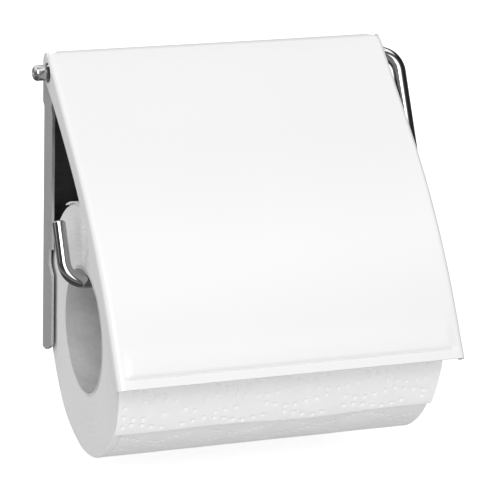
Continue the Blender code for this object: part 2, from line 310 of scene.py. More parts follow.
def steel_plate(name, dark, light, rough):
    """Brushed steel, with shade painted dark on the lugs round the hinge pin."""
    mat, nodes, shader, at = new_material(name)
    shader.inputs["Metallic"].default_value = 1.0
    grain = nodes.noise(nodes.stretch(at, (60.0, 60.0, 2400.0)), 1.0, 3.0, 0.6)
    cloud = nodes.noise(at, 70.0, 4.0, 0.6)
    level = nodes.blend(grain, cloud, 0.5)
    tone = nodes.ramp(level, [(0.35, grey(dark)), (0.65, grey(light))])
    # painted shade: the lugs are darkened round the hinge pin, where the gap between cap and hole
    # lies in shade
    pivot = nodes.add("VectorMath", operation="DISTANCE")
    nodes.join(nodes.stretch(at, (0.0, 1.0, 1.0)), pivot.inputs[0])
    pivot.inputs[1].default_value = HINGE
    away = nodes.math("DIVIDE", pivot.outputs["Value"], PIVOT_SHADE_SCALE)
    pivot_shade = nodes.ramp(away, [(0.36, 1.0), (0.46, 0.0)])
    # near-black colour of the painted shade round the pin
    shaded = nodes.add("Mix", data_type="RGBA")
    nodes.join(pivot_shade, shaded.inputs["Factor"])
    nodes.join(tone, shaded.inputs["A"])
    shaded.inputs["B"].default_value = grey(0.03)
    nodes.join(shaded.outputs["Result"], shader.inputs["Base Color"])
    nodes.join(nodes.spread(level, rough - 0.07, rough + 0.07), shader.inputs["Roughness"])
    nodes.join(nodes.bump(grain, 0.012 * MM), shader.inputs["Normal"])
    return mat


def chrome(name, level, rough, pits):
    """Polished metal with fine lines along it; pits is the depth of its unevenness."""
    mat, nodes, shader, at = new_material(name)
    shader.inputs["Metallic"].default_value = 1.0
    cloud = nodes.noise(at, 120.0, 3.0)
    tone = nodes.ramp(cloud, [(0.3, grey(level * 0.95)), (0.7, grey(level))])
    nodes.join(tone, shader.inputs["Base Color"])
    hairlines = nodes.noise(nodes.stretch(at, (90.0, 1600.0, 1600.0)), 1.0, 3.0, 0.7)
    nodes.join(nodes.spread(hairlines, rough * 0.6, rough * 1.6), shader.inputs["Roughness"])
    nodes.join(nodes.bump(nodes.noise(at, 900.0, 3.0), pits), shader.inputs["Normal"])
    return mat


def cardboard():
    """Grey card with fibres that run along the tube."""
    mat, nodes, shader, at = new_material("cardboard")
    fibre = nodes.noise(nodes.stretch(at, (500.0, 2200.0, 2200.0)), 1.0, 5.0, 0.7)
    cloud = nodes.noise(at, 130.0, 4.0, 0.65)
    level = nodes.blend(fibre, cloud, 0.45)
    tone = nodes.ramp(level, [(0.32, grey(0.46)), (0.68, grey(0.62))])
    nodes.join(tone, shader.inputs["Base Color"])
    shader.inputs["Roughness"].default_value = 0.92
    nodes.join(nodes.bump(fibre, 0.08 * MM), shader.inputs["Normal"])
    return mat


def tissue(name, low, high, fuzz=0.0):
    """Soft matt paper between two tones; fuzz lightens it at grazing angles."""
    mat, nodes, shader, at = new_material(name)
    shader.inputs["Sheen Weight"].default_value = fuzz
    cloud = nodes.noise(at, 90.0, 5.0, 0.65)
    tone = nodes.ramp(cloud, [(0.3, grey(low)), (0.7, grey(high))])
    nodes.join(tone, shader.inputs["Base Color"])
    shader.inputs["Roughness"].default_value = 0.97
    shader.inputs["Specular IOR Level"].default_value = 0.2
    crepe = nodes.noise(nodes.stretch(at, (700.0, 2600.0, 2600.0)), 1.0, 4.0, 0.7)
    creased = nodes.bump(crepe, 0.09 * MM)
    soft = nodes.noise(at, 320.0, 4.0, 0.6)
    nodes.join(nodes.bump(soft, 0.22 * MM, creased), shader.inputs["Normal"])
    return mat


def wound_edge():
    """End face of the roll: many layers seen edge on, in rings about the roll's axis."""
    mat, nodes, shader, at = new_material("wound_tissue_edge")
    apart = nodes.add("SeparateXYZ")
    nodes.join(at, apart.inputs[0])
    across = nodes.math("MULTIPLY", apart.outputs["Y"], apart.outputs["Y"])
    up = nodes.math("MULTIPLY", apart.outputs["Z"], apart.outputs["Z"])
    radius = nodes.math("SQRT", nodes.math("ADD", across, up))
    waver = nodes.math("MULTIPLY", nodes.noise(at, 60.0, 2.0), 1.2 * MM)
    layers = nodes.add("TexNoise", noise_dimensions="1D")
    nodes.join(nodes.math("ADD", radius, waver), layers.inputs["W"])
    layers.inputs["Scale"].default_value = 1500.0
    layers.inputs["Detail"].default_value = 3.0
    layers.inputs["Roughness"].default_value = 0.7
    fluff = nodes.noise(at, 900.0, 4.0, 0.7)
    level = nodes.blend(layers.outputs["Fac"], fluff, 0.6)
    tone = nodes.ramp(level, [(0.3, grey(0.83)), (0.7, grey(0.90))])
    nodes.join(tone, shader.inputs["Base Color"])
    shader.inputs["Roughness"].default_value = 1.0
    shader.inputs["Specular IOR Level"].default_value = 0.1
    ringed = nodes.bump(layers.outputs["Fac"], 0.22 * MM)
    nodes.join(nodes.bump(fluff, 0.18 * MM, ringed), shader.inputs["Normal"])
    return mat


def zinc():
    """Plated metal of the wall screws."""
    mat, nodes, shader, at = new_material("zinc_screw")
    shader.inputs["Metallic"].default_value = 1.0
    cloud = nodes.noise(at, 500.0, 4.0, 0.6)
    tone = nodes.ramp(cloud, [(0.3, grey(0.50)), (0.7, grey(0.66))])
    nodes.join(tone, shader.inputs["Base Color"])
    nodes.join(nodes.spread(cloud, 0.22, 0.4), shader.inputs["Roughness"])
    nodes.join(nodes.bump(cloud, 0.02 * MM), shader.inputs["Normal"])
    return mat


# ---- camera, light and floor ----------------------------------------------------
CAMERA_LEFT, CAMERA_RISE, CAMERA_ROLL = 20.25, 17.87, 1.75    # degrees
CAMERA_AWAY, CAMERA_LENS = 1.029, 205.06
CAMERA_TARGET = Vector((0.0035, -0.045, HINGE.z - 0.0621))
KEY_LEFT, KEY_RISE = 28.0, 38.0                               # degrees
KEY_AWAY, KEY_SIZE, KEY_ENERGY = 1.15, 0.55, 4.1
KEY_TARGET = Vector((0, -0.05, 0))


def front_left(left, rise):
    """Direction to the front, turned to the left and raised by angles in degrees."""
    left, rise = math.radians(left), math.radians(rise)
    return Vector((-math.sin(left) * math.cos(rise), -math.cos(left) * math.cos(rise),
                   math.sin(rise)))


def make_camera():
    """The camera solved from the photo's edges."""
    roll = math.radians(CAMERA_ROLL)
    left = math.radians(CAMERA_LEFT)
    back = front_left(CAMERA_LEFT, CAMERA_RISE)
    right = Vector((math.cos(left), -math.sin(left), 0))
    up = back.cross(right)
    side = right * math.cos(roll) + up * math.sin(roll)
    top = up * math.cos(roll) - right * math.sin(roll)
    data = bpy.data.cameras.new("camera")
    data.lens = CAMERA_LENS
    data.sensor_width = 36
    data.clip_start, data.clip_end = 0.05, 20
    camera = bpy.data.objects.new("camera", data)
    bpy.context.scene.collection.objects.link(camera)
    at = CAMERA_TARGET + back * CAMERA_AWAY
    camera.matrix_world = Matrix((
        (side.x, top.x, back.x, at.x), (side.y, top.y, back.y, at.y),
        (side.z, top.z, back.z, at.z), (0, 0, 0, 1),
    ))
    bpy.context.scene.camera = camera


BASE_LIGHT = 0.61             # soft light from every side
LIGHT_UP = 0.17               # more of it from above
LIGHT_FRONT = 0.38            # and from the front
LIGHT_LEFT = 0.08             # and a little from the left
BOX_LIGHT = 2.8               # softboxes that polished metal mirrors


def make_world():
    """White backdrop, soft light that is stronger from above and in front, and a ring of
    softboxes and dark screens that only glossy surfaces mirror."""
    world = bpy.data.worlds.new("studio")
    bpy.context.scene.world = world
    world.use_nodes = True
    nodes = Nodes(world.node_tree)
    background = world.node_tree.nodes["Background"]
    apart = nodes.add("SeparateXYZ")
    nodes.join(nodes.add("TexCoord").outputs["Generated"], apart.inputs[0])
    x, y, z = (apart.outputs[i] for i in range(3))
    front = nodes.math("MULTIPLY", y, -1.0)
    from_up = nodes.math("MULTIPLY", z, LIGHT_UP)
    from_front = nodes.math("MULTIPLY", front, LIGHT_FRONT)
    from_left = nodes.math("MULTIPLY", x, -LIGHT_LEFT)
    sideways = nodes.math("ADD", from_front, from_left)
    soft = nodes.math("ADD", nodes.math("ADD", from_up, sideways), BASE_LIGHT)
    turn = nodes.math("ADD", nodes.math("DIVIDE", nodes.math("ARCTAN2", x, front), 2 * math.pi), 0.5)
    screens = nodes.ramp(turn, [
        (0.0, 0.35), (0.235, 0.38), (0.265, 0.04), (0.395, 0.03), (0.41, 1.0),
        (0.51, 1.0), (0.53, 0.12), (0.62, 0.015), (0.90, 0.015), (0.98, 0.35),
    ])
    above = nodes.ramp(z, [(0.0, 0.0), (0.22, 1.0)], "EASE")
    lid = nodes.ramp(z, [(0.68, 0.0), (0.78, 1.0)], "EASE")
    overhead = nodes.ramp(z, [(0.70, 0.8), (0.84, 0.8), (0.90, 0.30), (1.0, 0.22)])
    depth = nodes.math("MULTIPLY", z, -1.0)
    ground = nodes.ramp(depth, [
        (0.0, 0.04), (0.16, 0.05), (0.27, 0.16), (0.40, 0.13), (0.62, 0.03), (1.0, 0.05),
    ])
    dome = nodes.choose(lid, nodes.choose(above, ground, screens), overhead)
    mirrored = nodes.math("MULTIPLY", dome, BOX_LIGHT)
    path = nodes.add("LightPath")
    lit = nodes.choose(path.outputs["Is Glossy Ray"], soft, mirrored)
    seen = nodes.choose(path.outputs["Is Camera Ray"], lit, 1.0)
    nodes.join(seen, background.inputs["Color"])


def make_key_light():
    """Large soft lamp above and in front, a little to the left."""
    data = bpy.data.lights.new("key_light", "AREA")
    data.shape = "DISK"
    data.size = KEY_SIZE
    data.energy = KEY_ENERGY
    lamp = bpy.data.objects.new("key_light", data)
    bpy.context.scene.collection.objects.link(lamp)
    away = front_left(KEY_LEFT, KEY_RISE)
    lamp.location = KEY_TARGET + away * KEY_AWAY
    lamp.rotation_euler = away.to_track_quat("Z", "Y").to_euler()


def make_floor():
    """Pale floor under the holder, which only the camera sees directly."""
    z = min(ROLL_LOW[2], PLATE_LOW[2]) - FLOOR_DROP
    half = 2.0
    corners = ((-half, -half), (half, -half), (half, half), (-half, half))
    bm = bmesh.new()
    bm.faces.new([bm.verts.new((x, y, z)) for x, y in corners])
    mat, nodes, shader, at = new_material("pale_floor")
    cloud = nodes.noise(at, 3.0, 2.0)
    tone = nodes.ramp(cloud, [(0.3, grey(0.93)), (0.7, grey(0.95))])
    nodes.join(tone, shader.inputs["Base Color"])
    shader.inputs["Roughness"].default_value = 0.9
    shader.inputs["Emission Color"].default_value = (1, 1, 1, 1)
    shader.inputs["Emission Strength"].default_value = 0.58
    floor = link("floor", mesh_from(bm, "floor"), [mat])
    floor.visible_diffuse = False
    floor.visible_glossy = False


# ---- cover flap -----------------------------------------------------------------
TOP_RADIUS = 6.2 * MM         # outside radius of the rolled top
TOP_AT = (HINGE_DEPTH - 1.1 * MM, 0.9 * MM)
TOP_BACK = -60.0              # degrees, rear end of the rolled top
SLOPE = 39.0                  # degrees below level, flat upper part
STRAIGHT = 41.0 * MM
BOW_RADIUS = 220.6 * MM
BOW_ANGLE = 21.7
LIP = 5.5 * MM                # flat run below the bow
SIDE_BEND = 2.2 * MM
BEND_STEPS = 8
BEND_FROM = 12.0              # degrees on the rolled top where the side bends begin
FLANGE_LOW, FLANGE_RISE, FLANGE_FADE = 7.0 * MM, 4.0 * MM, 18.0 * MM
RELIEF = 4.5 * MM             # the rolled top stops this far inside each side
EAR_HOLE = 3.7 * MM
EAR_HOLE_AT = (HINGE_DEPTH + 0.5 * MM, 0.0)
EAR = ((11.0, -3.8), (9.9, -2.4), (9.0, -1.0), (8.4, 0.6), (8.1, 2.2), (8.2, 3.8), (8.8, 5.0),
       (9.8, 6.0), (11.0, 6.7), (12.4, 7.1))
GROOVE = 3.7 * MM             # bottom of the pressed groove, up from the lip's edge
GROOVE_IN, LIP_OUT, SWELL = -0.60 * MM, 0.5 * MM, 0.60 * MM
GROOVE_STEP = 0.65 * MM       # run of the step from the lip down into the groove
GROOVE_WALL = 1.8 * MM        # run of the groove's upper wall, up to the swell
SWELL_FADE = 11.0 * MM        # run in which the swell dies out above the groove
SIDE_FADE = 9.0 * MM          # the same for the lip at the very sides
FINE_FROM, GROOVE_FROM, GROOVE_TO = 14.0 * MM, 6.4 * MM, 2.8 * MM
BOW_RUN = BOW_RADIUS * math.radians(BOW_ANGLE)
PANEL_RUN = STRAIGHT + BOW_RUN + LIP


def panel_line(run):
    """Side-view place and normal angle on the panel, run measured down from the rolled top."""
    d, h = around(TOP_AT, TOP_RADIUS, SLOPE)
    slope = math.radians(SLOPE)
    flat = min(run, STRAIGHT)
    d, h = d + flat * math.cos(slope), h - flat * math.sin(slope)
    if run <= STRAIGHT:
        return d, h, SLOPE
    centre = around((d, h), -BOW_RADIUS, SLOPE)
    bowed = min(run - STRAIGHT, BOW_RUN)
    normal = SLOPE + math.degrees(bowed / BOW_RADIUS)
    d, h = around(centre, BOW_RADIUS, normal)
    rest = max(run - STRAIGHT - BOW_RUN, 0.0)
    down = math.radians(normal)
    return d + rest * math.cos(down), h - rest * math.sin(down), normal


def lip_relief(up):
    """How far the sheet stands out at a distance up from the lip's edge, mid-width."""
    if up < GROOVE:
        return mix(LIP_OUT, GROOVE_IN, ease((up - GROOVE + GROOVE_STEP) / GROOVE_STEP))
    wall = min((up - GROOVE) / GROOVE_WALL, 1.0)
    swell = mix(GROOVE_IN, SWELL, 1 - (1 - wall) ** 2.4)
    return swell * (1 - ease((up - GROOVE - GROOVE_WALL) / SWELL_FADE))


def lip_plain(up):
    """The same at the very sides, where the pressed groove has run out."""
    return LIP_OUT * (1 - ease(up / SIDE_FADE))


def cover_stations():
    """(depth, height, normal angle, distance up from the lip's edge), top to lip."""
    out = []
    for a in steps(TOP_BACK, SLOPE, 22)[:-1]:
        out.append((*around(TOP_AT, TOP_RADIUS, a), a, 1.0))
    marks = (0, STRAIGHT, PANEL_RUN - FINE_FROM, PANEL_RUN - GROOVE_FROM, PANEL_RUN - GROOVE_TO)
    runs = []
    for start, end, count in zip(marks, marks[1:], (8, 24, 8, 18)):
        runs += steps(start, end, count)[:-1]
    runs += steps(marks[-1], PANEL_RUN, 4)
    out += [(*panel_line(run), PANEL_RUN - run) for run in runs]
    return out


def cover_width(normal):
    """Half width of the flat part of the sheet at a station, with the corner relief."""
    full = COVER_HALF - SIDE_BEND
    inner = COVER_HALF - RELIEF
    opening = ease((normal - (BEND_FROM - 16)) / 16)
    rounding = 1.6 * MM * (1 - math.sqrt(1 - max(0.0, (TOP_BACK + 14 - normal) / 14) ** 2))
    return mix(inner, full, opening) - rounding


def cover_columns():
    """Fractions across the sheet, closer together near the sides."""
    middle = steps(-0.93, 0.93, 30)
    return [-1.0, -0.985, -0.97, -0.95] + middle + [0.95, 0.97, 0.985, 1.0]


def cover_point(station, share):
    """Point of the panel, with the groove pressed in and a faint unevenness."""
    d, h, normal, up = station
    x = share * cover_width(normal)
    inside = (COVER_HALF - abs(x)) / MM
    pressed = ease((inside - 3.0) / 2.6)
    out = mix(lip_plain(up), lip_relief(up), pressed)
    out += 0.10 * MM * wobble(x, up, 0.3, 22.0) * ease(inside / 20)
    return place(x, *around((d, h), out, normal))


def bend_point(station, side, step):
    """Point of the rounded bend between the panel and a side flange."""
    d, h, normal, up = station
    t = math.radians(90 * step / BEND_STEPS)
    inwards = SIDE_BEND * (1 - math.cos(t)) - lip_plain(up)
    x = COVER_HALF - SIDE_BEND * (1 - math.sin(t))
    return place(side * x, *around((d, h), -inwards, normal))


def flange_edge():
    """Rear edge of the side flange, from the lip up to the ear's peak."""
    edge = []
    for run in steps(4 * MM, PANEL_RUN - 5 * MM, 30):
        d, h, normal = panel_line(run)
        width = FLANGE_LOW + FLANGE_RISE * math.exp(-run / FLANGE_FADE)
        edge.append(around((d, h), -width, normal))
    for up, width in ((3 * MM, 6.6 * MM), (1.2 * MM, 5.6 * MM), (0.0, 4.5 * MM)):
        d, h, normal = panel_line(PANEL_RUN - up)
        edge.append(around((d, h), -width, normal))
    return edge[::-1] + [(d * MM, h * MM) for d, h in EAR]


def add_flange(bm, bend_edge, side):
    """Flat side flange with the round hole for the cap, as triangles."""
    x = side * COVER_HALF
    outline = bend_edge + [place(x, d, h) for d, h in flange_edge()]
    hole = [place(x, *around(EAR_HOLE_AT, EAR_HOLE, 360 * i / 40)) for i in range(40)]
    points = outline + hole
    verts = [bm.verts.new(p) for p in points]
    for triangle in tessellate_polygon([outline, hole]):
        bm.faces.new([verts[i] for i in triangle])


def make_cover():
    """One pressed sheet: rolled top, panel, side bends and flat flanges with ears."""
    stations = cover_stations()
    first = next(i for i, s in enumerate(stations) if s[2] >= BEND_FROM)
    bm = bmesh.new()
    add_grid(bm, [[cover_point(s, share) for share in cover_columns()] for s in stations])
    for side in (-1, 1):
        rows = []
        for station in stations[first:]:
            row = [bend_point(station, side, step) for step in range(BEND_STEPS + 1)]
            rows.append([cover_point(station, side)] + row[1:])
        add_grid(bm, rows)
        add_flange(bm, [row[-1] for row in rows], side)
    bmesh.ops.remove_doubles(bm, verts=bm.verts, dist=WELD)
    face_outwards(bm, Vector((0, 0.5, 1)))
    cover = link("cover_sheet", mesh_from(bm, "cover_sheet"), [enamel()], location=HINGE)
    thicken(cover, 0.28 * MM, 3)
    piece(cover, "cover", "cover", "cover_flap")


# ---- back plate -----------------------------------------------------------------
LUG_STEP = 0.5 * MM           # the lugs stand this much further out than the flanges
PLATE_HALF = PLATE_HIGH[0] - LUG_STEP
PLATE_DROP = PLATE_LOW[2] - HINGE.z
PLATE_BEND = 1.5 * MM
FLANGE = 12.0 * MM            # depth of the side flanges
SHOULDER = (-13.6 * MM, -15.9 * MM)
LUG_RADIUS = 4.5 * MM
LUG_BACK = 4.8 * MM           # depth of the rear edge of the gap behind the lug
PIN_HOLE = 2.6 * MM
SCREW_X, SCREW_HEIGHT, SCREW_HOLE = 40.0 * MM, -24.0 * MM, 2.5 * MM


def plate_outline():
    """Flange outline, round from the bend at the bottom to the bend at the top."""
    foot = [(4.8, 0.0), (6.2, 0.35), (10.2, 2.4), (11.4, 3.3), (12.1, 4.3), (12.4, 5.4)]
    notch = [(12.4, -77.4), (12.0, -76.6), (9.4, -74.4), (8.6, -73.2), (8.6, -68.0),
             (11.6, -67.4), (12.0, -66.9)]
    front = [(d * MM, PLATE_DROP + h * MM) for d, h in foot]
    front += [(d * MM, h * MM) for d, h in notch]
    front += [(FLANGE, SHOULDER[1]), (FLANGE, SHOULDER[0])]
    lug = arc((HINGE_DEPTH, 0.0), LUG_RADIUS, 110, -130, 24)
    behind = lug[-1][0]
    gap = [(behind, -6.0 * MM), (behind - 0.8 * MM, -7.0 * MM), (LUG_BACK + 0.8 * MM, -7.2 * MM),
           (LUG_BACK, -6.4 * MM), (LUG_BACK, -0.6 * MM), (LUG_BACK - 0.6 * MM, 0.0)]
    return front + lug + gap


def plate_side(height):
    """Half width of the plate: the lugs stand a little further out than the flanges."""
    return PLATE_HALF + LUG_STEP * ease((height - SHOULDER[1]) / (SHOULDER[0] - SHOULDER[1]))


def levels_between(low, high):
    """Heights at which the plate is divided, including both shoulder lines."""
    return steps(low, SHOULDER[1], 6) + steps(SHOULDER[1], SHOULDER[0], 4)[1:] + [high]


def add_plate_flange(bm, side):
    """Side flange with the lug and its pin hole, bent out a little at the shoulder."""
    outline = [(PLATE_BEND, PLATE_DROP)] + plate_outline() + [(PLATE_BEND, 0.0)]
    closing = [(PLATE_BEND, h) for h in levels_between(PLATE_DROP, 0.0)[::-1][1:-1]]
    flat = outline + closing
    hole = arc((HINGE_DEPTH, 0.0), PIN_HOLE, 0, 351, 39)
    loops = [[Vector((d, h, 0)) for d, h in flat], [Vector((d, h, 0)) for d, h in hole]]
    verts = [bm.verts.new(place(side * plate_side(h), d, h)) for d, h in flat + hole]
    for triangle in tessellate_polygon(loops):
        bm.faces.new([verts[i] for i in triangle])


def add_plate_web(bm):
    """Flat rear web with the two screw holes."""
    levels = levels_between(PLATE_DROP, 0.0)
    right = [(plate_side(h) - PLATE_BEND, h) for h in levels]
    outline = right + [(-x, h) for x, h in right[::-1]]
    loops = [[Vector((x, h, 0)) for x, h in outline]]
    holes = []
    for x in (-SCREW_X, SCREW_X):
        hole = arc((x, SCREW_HEIGHT), SCREW_HOLE, 0, 350, 35)
        holes += hole
        loops.append([Vector((u, h, 0)) for u, h in hole])
    verts = [bm.verts.new(place(x, 0, h)) for x, h in outline + holes]
    for triangle in tessellate_polygon(loops):
        bm.faces.new([verts[i] for i in triangle])


def add_plate_bend(bm, side):
    """Rounded bend between the web and a side flange."""
    turn = [math.radians(90 * i / 6) for i in range(7)]
    rows = []
    for h in levels_between(PLATE_DROP, 0.0):
        flat = plate_side(h) - PLATE_BEND
        rows.append([place(side * (flat + PLATE_BEND * math.sin(t)),
                           PLATE_BEND * (1 - math.cos(t)), h) for t in turn])
    add_grid(bm, rows)


def make_plate():
    """One pressed channel: web, side bends and side flanges with the hinge lugs."""
    bm = bmesh.new()
    add_plate_web(bm)
    for side in (-1, 1):
        add_plate_bend(bm, side)
    for side in (-1, 1):
        add_plate_flange(bm, side)
    bmesh.ops.remove_doubles(bm, verts=bm.verts, dist=WELD)
    face_outwards(bm, Vector((0, 1, 0)))
    # the inside of the channel gets a near-black copy of the same steel: painted shade between
    # plate, cover and roll
    outside = steel_plate("satin_steel", 0.64, 0.80, 0.34)
    inside = steel_plate("inside_steel_painted_shade", 0.10, 0.14, 0.42)
    plate = link("back_plate_sheet", mesh_from(bm, "back_plate_sheet"), [outside, inside])
    thicken(plate, 0.18 * MM, 2)
    # the inner faces made by the thickness take the copy with the painted shade
    plate.modifiers["thickness"].material_offset = 1
    piece(plate, "mount", "plate", "back_plate")


# ---- wall screws ----------------------------------------------------------------
THREAD_PITCH = 1.6 * MM
THREAD_RUN = (3.0 * MM, 26.0 * MM)
THREAD_ROOT, THREAD_START, THREAD_HEIGHT, THREAD_HALF = 1.7, 2.05, 0.4, 0.30    # mm


def thread_rows(centre):
    """Three-sided sections along the helix; the ridge runs out at both ends."""
    turns = (THREAD_RUN[1] - THREAD_RUN[0]) / THREAD_PITCH
    count = int(turns * 20)
    rows = []
    for i in range(count + 1):
        angle = 2 * math.pi * turns * i / count
        y = THREAD_RUN[0] + (THREAD_RUN[1] - THREAD_RUN[0]) * i / count
        crest = THREAD_START + THREAD_HEIGHT * min(1.0, i / 20, (count - i) / 30)
        rows.append([])
        for radius, along in ((THREAD_ROOT, -THREAD_HALF), (crest, 0.0), (THREAD_ROOT, THREAD_HALF)):
            u, v = radius * MM * math.cos(angle), radius * MM * math.sin(angle)
            rows[-1].append(centre + Vector((u, y + along * MM, v)))
    return rows


def make_threads():
    """Helical ridge on each screw's shank, behind the wall plane."""
    metal = zinc()
    for side, x in (("left", -SCREW_X), ("right", SCREW_X)):
        bm = bmesh.new()
        verts = add_grid(bm, thread_rows(place(x, 0, SCREW_HEIGHT)), close_columns=True)
        for ring in (verts[0], verts[-1]):
            bm.faces.new(ring)
        bmesh.ops.recalc_face_normals(bm, faces=bm.faces)
        thread = link("screw_thread_" + side, mesh_from(bm, "screw_thread_" + side, 20), [metal])
        piece(thread, "mount", "screw")
        screw = frame["nodes"]["wall_screw_" + side]
        screw.data.materials.clear()
        screw.data.materials.append(metal)


# ---- roll arm -------------------------------------------------------------------
WIRE = 2.4 * MM               # radius of the wire
WIRE_BEND = 7.4 * MM          # radius of its bends, at the middle of the wire
ARM_TILT = math.radians(28.7)
ARM_LENGTH = 76.5 * MM        # from the hinge line down to the arm
HOOK = 22.3 * MM              # the end that is bent up in front of the roll's left face
ARM_RIGHT = WIRE_OUTSIDE - WIRE
ARM_LEFT = -66.8 * MM
SPIGOT = 2.0 * MM             # radius of the wire's thinner end inside the cap
SPIGOT_TIP = -68.0 * MM
CHAMFER = 0.55 * MM
WIRE_SIDES = 32


def wire_route():
    """(x, reach, radius) along the wire, reach measured from the hinge line down the leg."""
    mouth = CAP_HIGH[0]
    route = [(SPIGOT_TIP, 0.0, SPIGOT * 0.7), (SPIGOT_TIP + 0.5 * MM, 0.0, SPIGOT),
             (mouth, 0.0, SPIGOT), (mouth + 0.2 * MM, 0.0, WIRE)]
    corners = [(mouth, 0.0), (ARM_RIGHT, 0.0), (ARM_RIGHT, ARM_LENGTH), (ARM_LEFT, ARM_LENGTH),
               (ARM_LEFT, ARM_LENGTH - HOOK)]
    for before, corner, after in zip(corners, corners[1:], corners[2:]):
        here = Vector(corner)
        came = (here - Vector(before)).normalized()
        goes = (Vector(after) - here).normalized()
        centre = here - came * WIRE_BEND + goes * WIRE_BEND
        for i in range(17):
            t = math.radians(90 * i / 16)
            p = centre - goes * WIRE_BEND * math.cos(t) + came * WIRE_BEND * math.sin(t)
            route.append((p.x, p.y, WIRE))
    x, end = corners[-1]
    return route + [(x, end + CHAMFER, WIRE), (x, end + 0.15 * MM, WIRE - 0.35 * MM),
                    (x, end, WIRE - CHAMFER)]


def make_arm():
    """One bent wire: hinge pin, right leg, arm through the roll, and hook."""
    leg = Vector((0, -math.sin(ARM_TILT), -math.cos(ARM_TILT)))
    normal = Vector((1, 0, 0)).cross(leg)
    route = wire_route()
    centres = [HINGE + Vector((x, 0, 0)) + leg * reach for x, reach, radius in route]
    rows = []
    for i, (centre, (x, reach, radius)) in enumerate(zip(centres, route)):
        ahead = centres[min(i + 1, len(centres) - 1)] - centres[max(i - 1, 0)]
        across = ahead.normalized().cross(normal)
        rows.append([centre + (normal * math.cos(a) + across * math.sin(a)) * radius
                     for a in circle(WIRE_SIDES)])
    bm = bmesh.new()
    verts = add_grid(bm, rows, close_columns=True)
    for ring in (verts[0], verts[-1]):
        bm.faces.new(ring)
    bmesh.ops.recalc_face_normals(bm, faces=bm.faces)
    mats = [chrome("chrome_wire", 0.43, 0.05, 0.004 * MM)]
    arm = link("arm_wire", mesh_from(bm, "arm_wire", 30), mats, location=HINGE)
    piece(arm, "arm", "wire", "roll_arm")


# ---- pivot cap ------------------------------------------------------------------
CAP_SIDES = 64
CAP_DOME_RUN, CAP_DOME_IN = 1.5 * MM, 1.7 * MM
CAP_DOME_END = math.radians(78)
CAP_HOLLOW = 0.65 * MM


def cap_profile():
    """(x, radius) round the cap: bore, mouth, outside, domed end and its hollow."""
    radius = CAP_HIGH[2] - HINGE.z
    mouth, tip = CAP_HIGH[0], CAP_LOW[0]
    bore, floor = SPIGOT + 0.2 * MM, SPIGOT_TIP - 0.3 * MM
    shoulder = tip + CAP_DOME_RUN
    profile = [(floor, 0.0), (floor, bore), (mouth - 0.3 * MM, bore), (mouth, bore + 0.2 * MM),
               (mouth, radius - 0.15 * MM), (mouth - 0.15 * MM, radius), (shoulder, radius)]
    for i in range(1, 13):
        t = CAP_DOME_END * i / 12
        x = mix(shoulder, tip, math.sin(t) / math.sin(CAP_DOME_END))
        profile.append((x, radius - CAP_DOME_IN * (1 - math.cos(t))))
    return profile + [(tip + 0.08 * MM, CAP_HOLLOW), (tip + 0.7 * MM, CAP_HOLLOW * 0.8),
                      (tip + 0.9 * MM, 0.0)]


def make_cap():
    """Push-on cap, turned about the hinge line."""
    rows = [[HINGE + Vector((x, radius * math.cos(a), radius * math.sin(a)))
             for a in circle(CAP_SIDES)] for x, radius in cap_profile()]
    bm = bmesh.new()
    add_grid(bm, rows, close_rows=True, close_columns=True)
    bmesh.ops.remove_doubles(bm, verts=bm.verts, dist=1e-7)
    bmesh.ops.recalc_face_normals(bm, faces=bm.faces)
    mats = [chrome("cap_steel", 0.54, 0.22, 0.03 * MM)]
    cap = link("pivot_cap_shell", mesh_from(bm, "pivot_cap_shell", 50), mats, location=HINGE)
    piece(cap, "arm", "cap", "pivot_cap")


# ---- cardboard core -------------------------------------------------------------
CORE_HALF = CORE_HIGH[0]
CORE_INSIDE = CORE_RADIUS - 0.6 * MM
CORE_MIDDLE = (CORE_INSIDE + CORE_RADIUS) / 2
CORE_SIDES = 120
SEAM_LEAD = 92.0 * MM         # length along the core for one turn of the seam
SEAM_DEPTH, SEAM_WIDTH = 0.18 * MM, 0.7 * MM
FRAY_RUN, RIM_RUN = 3 * MM, 0.8 * MM


def core_ring(x, radius, inside):
    """One ring of the tube; the inside has the seam, and the ends are a little crushed."""
    frayed = ease((abs(x) - CORE_HALF + FRAY_RUN) / FRAY_RUN)
    pushed = ease((abs(x) - CORE_HALF + RIM_RUN) / RIM_RUN)
    points = []
    for k, a in enumerate(circle(CORE_SIDES)):
        across, up = math.sin(a), math.cos(a)
        crush = 0.25 * MM * wobble(up, across, x * 20, 1.7) * frayed
        if inside:
            turn = (x / SEAM_LEAD - k / CORE_SIDES) % 1.0
            edge = min(turn, 1 - turn) * SEAM_LEAD * 0.5
            step = SEAM_DEPTH * math.exp(-(edge / SEAM_WIDTH) ** 2)
            r = min(radius + step, CORE_RADIUS - 0.05 * MM) + crush * 0.6
        else:
            r = radius + min(crush, 0.0)
        push = 0.35 * MM * wobble(up * 2, across * 2, x, 1.3) * pushed
        shift = -math.copysign(abs(push), x)
        points.append(Vector((x + shift, ROLL.y + r * across, ROLL.z + r * up)))
    return points


def make_core():
    """Cardboard tube with a spiral seam inside and slightly crushed rims."""
    rows = [core_ring(x, CORE_INSIDE, True) for x in steps(-CORE_HALF, CORE_HALF, 110)]
    rows.append(core_ring(CORE_HALF, CORE_MIDDLE, False))
    rows += [core_ring(x, CORE_RADIUS, False) for x in steps(CORE_HALF, -CORE_HALF, 6)]
    rows.append(core_ring(-CORE_HALF, CORE_MIDDLE, False))
    bm = bmesh.new()
    add_grid(bm, rows, close_rows=True, close_columns=True)
    bmesh.ops.recalc_face_normals(bm, faces=bm.faces)
    for face in bm.faces:
        if abs(face.normal.x) > 0.5:
            face.material_index = 1
    mats = [cardboard(), tissue("cut_card_rim", 0.62, 0.80)]
    core = link("core_tube", mesh_from(bm, "core_tube", 60), mats, location=ROLL)
    piece(core, "roll", "card", "roll_core")


